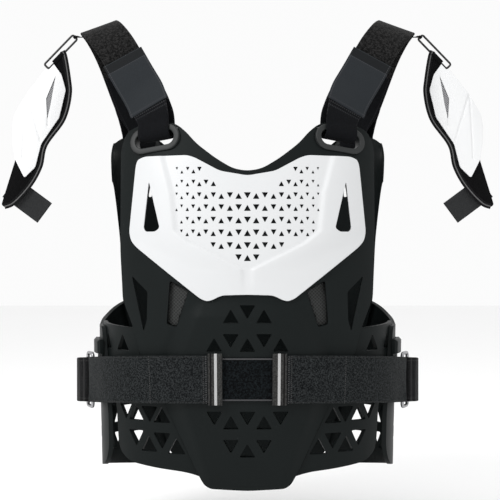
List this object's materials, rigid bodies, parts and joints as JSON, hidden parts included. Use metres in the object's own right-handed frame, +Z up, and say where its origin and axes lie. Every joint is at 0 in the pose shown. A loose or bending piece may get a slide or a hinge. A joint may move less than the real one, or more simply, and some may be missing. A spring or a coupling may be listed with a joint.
{
  "type": "roost deflector",
  "caption": "Chest and back protector of moulded panels with shoulder straps, a waist belt, pierced side wings and loose arm guards hung on wire rings.",
  "frame": {"origin": "midway between the undersides of the two shoulder-strap crowns, where the straps sit on the shoulders", "axes": "+X to the right in the picture, -Y out of the chest, +Z up"},
  "size_m": [0.5844, 0.2548, 0.5432],
  "materials": {
    "black_shell": "fine moulded grain",
    "white_plate": "satin",
    "grey_bezel": "satin",
    "strap_webbing": "plush above, smooth webbing below",
    "smooth_tab": "smooth coated face",
    "belt_plush": "brushed loop pile",
    "belt_binding": "bound edge",
    "bright_wire": "polished",
    "black_wire": "gloss",
    "guard_pad": "padded cloth with a bound edge",
    "grey_mesh": "open mesh"
  },
  "bodies": {
    "protector": {"front_shell": "black_shell", "back_shell": "black_shell", "front_wing_left": "black_shell", "front_wing_right": "black_shell", "back_wing_left": "black_shell", "back_wing_right": "black_shell", "belt_keeper_left": "black_shell", "belt_keeper_right": "black_shell", "chest_plate": "white_plate", "slot_ring_front_left": "grey_bezel", "slot_ring_front_right": "grey_bezel", "slot_ring_back_left": "grey_bezel", "slot_ring_back_right": "grey_bezel", "shoulder_strap_left": "strap_webbing", "shoulder_strap_right": "strap_webbing", "guard_hanger_left": "strap_webbing", "guard_hanger_right": "strap_webbing", "strap_tab_left": "smooth_tab", "strap_tab_right": "smooth_tab", "belt_base": "belt_plush", "belt_rear": "belt_plush", "belt_flap_left": "belt_plush", "belt_flap_right": "belt_plush", "pull_tab_left": "belt_binding", "pull_tab_right": "belt_binding", "belt_ring_left": "bright_wire", "belt_ring_right": "bright_wire", "guard_ring_left": "black_wire", "guard_ring_right": "black_wire", "vent_mesh_left": "grey_mesh", "vent_mesh_right": "grey_mesh"},
    "guard_left": {"guard_backing_left": "guard_pad", "guard_plate_left": "white_plate", "guard_vent_left": "grey_mesh", "arm_strap_left": "strap_webbing"},
    "guard_right": {"guard_backing_right": "guard_pad", "guard_plate_right": "white_plate", "guard_vent_right": "grey_mesh", "arm_strap_right": "strap_webbing"}
  },
  "joints": [
    {"name": "guard_left_swing", "type": "hinge", "parent": "protector", "child": "guard_left", "pos_m": [-0.22444, 0, -0.03458], "axis": [-0.6947, 0, -0.7193], "range_deg": [-40, 40]},
    {"name": "guard_right_swing", "type": "hinge", "parent": "protector", "child": "guard_right", "pos_m": [0.22444, 0, -0.03458], "axis": [0.6947, 0, -0.7193], "range_deg": [-40, 40]}
  ]
}
